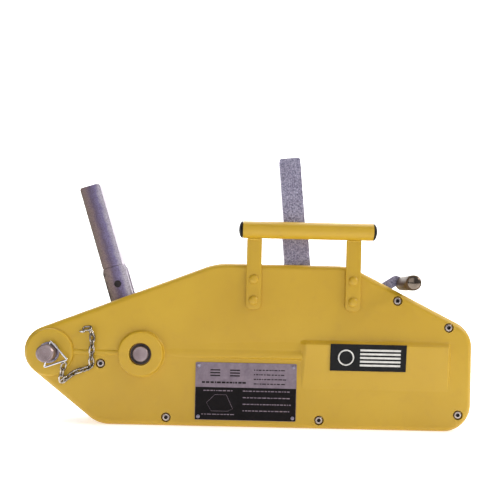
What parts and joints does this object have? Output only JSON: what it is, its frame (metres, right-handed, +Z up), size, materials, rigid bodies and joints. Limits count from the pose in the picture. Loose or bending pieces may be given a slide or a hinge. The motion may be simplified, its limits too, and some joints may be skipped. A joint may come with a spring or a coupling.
{
  "type": "wire rope puller",
  "caption": "Hand-lever wire rope puller in a cast two-part case, with anchor pin, clip on a chain, forward, reverse and release levers and a tubular carrying handle.",
  "frame": {"origin": "mid-length of the case on its bottom face, where the puller stands", "axes": "+X along the rope towards the rope inlet, +Y towards the rear cover, +Z up"},
  "size_m": [0.5523, 0.1168, 0.3367],
  "materials": {
    "paint": "satin yellow paint",
    "zinc": "galvanised, mottled",
    "steel": "machined",
    "dark_steel": "blackened",
    "chrome": "bright plated",
    "plastic": "moulded, matte",
    "bronze": "machined",
    "label": "printed aluminium plate"
  },
  "bodies": {
    "case": {"anchor_pin": "steel", "anchor_washer": "zinc", "badge_plate": "plastic", "chain_staple": "chrome", "cover_nut_1": "zinc", "cover_nut_2": "zinc", "cover_nut_3": "zinc", "cover_nut_4": "zinc", "cover_nut_5": "zinc", "cover_nut_6": "zinc", "cover_screw_1": "dark_steel", "cover_screw_2": "dark_steel", "cover_screw_3": "dark_steel", "cover_screw_4": "dark_steel", "cover_screw_5": "dark_steel", "cover_screw_6": "dark_steel", "front_cover": "paint", "front_shaft_bush": "bronze", "handle_cap_left": "plastic", "handle_cap_right": "plastic", "handle_strap_1": "paint", "handle_strap_2": "paint", "handle_tube": "paint", "nameplate": "label", "nameplate_rivet_1": "chrome", "nameplate_rivet_2": "chrome", "nameplate_rivet_3": "chrome", "nameplate_rivet_4": "chrome", "rear_cover": "paint", "rear_shaft_bush": "bronze", "reverse_shaft": "steel", "rope_guide": "paint", "strap_rivet_1": "paint", "strap_rivet_2": "paint", "strap_rivet_3": "paint", "strap_rivet_4": "paint", "tether_chain": "chrome"},
    "forward_lever": {"crank_shaft": "steel", "crank_arm": "zinc", "forward_lever": "zinc", "shear_pin": "dark_steel", "front_circlip": "dark_steel", "rear_circlip": "dark_steel"},
    "reverse_lever": {"reverse_lever": "zinc"},
    "release_lever": {"release_arm": "zinc", "release_grip": "chrome", "release_cam": "steel", "release_shaft": "steel"},
    "left_carriage": {"left_jaw_carriage": "steel", "left_drive_rod": "steel", "left_rod_bolt": "dark_steel"},
    "right_carriage": {"right_jaw_carriage": "steel", "right_drive_rod": "steel", "right_rod_bolt": "dark_steel"},
    "left_upper_jaw": {"left_upper_jaw": "dark_steel"},
    "left_lower_jaw": {"left_lower_jaw": "dark_steel"},
    "right_upper_jaw": {"right_upper_jaw": "dark_steel"},
    "right_lower_jaw": {"right_lower_jaw": "dark_steel"},
    "pin_clip": {"pin_clip": "chrome"}
  },
  "joints": [
    {"name": "forward_swing", "type": "hinge", "parent": "case", "child": "forward_lever", "pos_m": [-0.1282, 0, 0.088], "axis": [0, 1, 0], "range_deg": [-25, 45]},
    {"name": "left_carriage_slide", "type": "slide", "parent": "case", "child": "left_carriage", "axis": [1, 0, 0], "range_m": [-0.013, 0.022]},
    {"name": "right_carriage_slide", "type": "slide", "parent": "case", "child": "right_carriage", "axis": [1, 0, 0], "range_m": [-0.022, 0.013]},
    {"name": "reverse_swing", "type": "hinge", "parent": "case", "child": "reverse_lever", "pos_m": [0.0676, 0, 0.1355], "axis": [0, 1, 0], "range_deg": [-20, 20]},
    {"name": "release_pull", "type": "hinge", "parent": "case", "child": "release_lever", "pos_m": [0.15, 0, 0.1629], "axis": [0, -1, 0], "range_deg": [0, 40]},
    {"name": "left_upper_jaw_open", "type": "slide", "parent": "left_carriage", "child": "left_upper_jaw", "axis": [0, 0, 1], "range_m": [0, 0.0022]},
    {"name": "left_lower_jaw_open", "type": "slide", "parent": "left_carriage", "child": "left_lower_jaw", "axis": [0, 0, -1], "range_m": [0, 0.0022]},
    {"name": "right_upper_jaw_open", "type": "slide", "parent": "right_carriage", "child": "right_upper_jaw", "axis": [0, 0, 1], "range_m": [0, 0.0022]},
    {"name": "right_lower_jaw_open", "type": "slide", "parent": "right_carriage", "child": "right_lower_jaw", "axis": [0, 0, -1], "range_m": [0, 0.0022]},
    {"name": "clip_swing", "type": "hinge", "parent": "case", "child": "pin_clip", "pos_m": [-0.2395, -0.0426, 0.0875], "axis": [-0.1994, 0, -0.9799], "range_deg": [0, 25]}
  ],
  "couplings": [
    {"joint": "left_carriage_slide", "follows": "forward_swing", "m_per_rad": 0.0249},
    {"joint": "right_carriage_slide", "follows": "forward_swing", "m_per_rad": -0.0249},
    {"joint": "left_upper_jaw_open", "follows": "release_pull", "m_per_rad": 0.003},
    {"joint": "left_lower_jaw_open", "follows": "release_pull", "m_per_rad": 0.003},
    {"joint": "right_upper_jaw_open", "follows": "release_pull", "m_per_rad": 0.003},
    {"joint": "right_lower_jaw_open", "follows": "release_pull", "m_per_rad": 0.003}
  ]
}
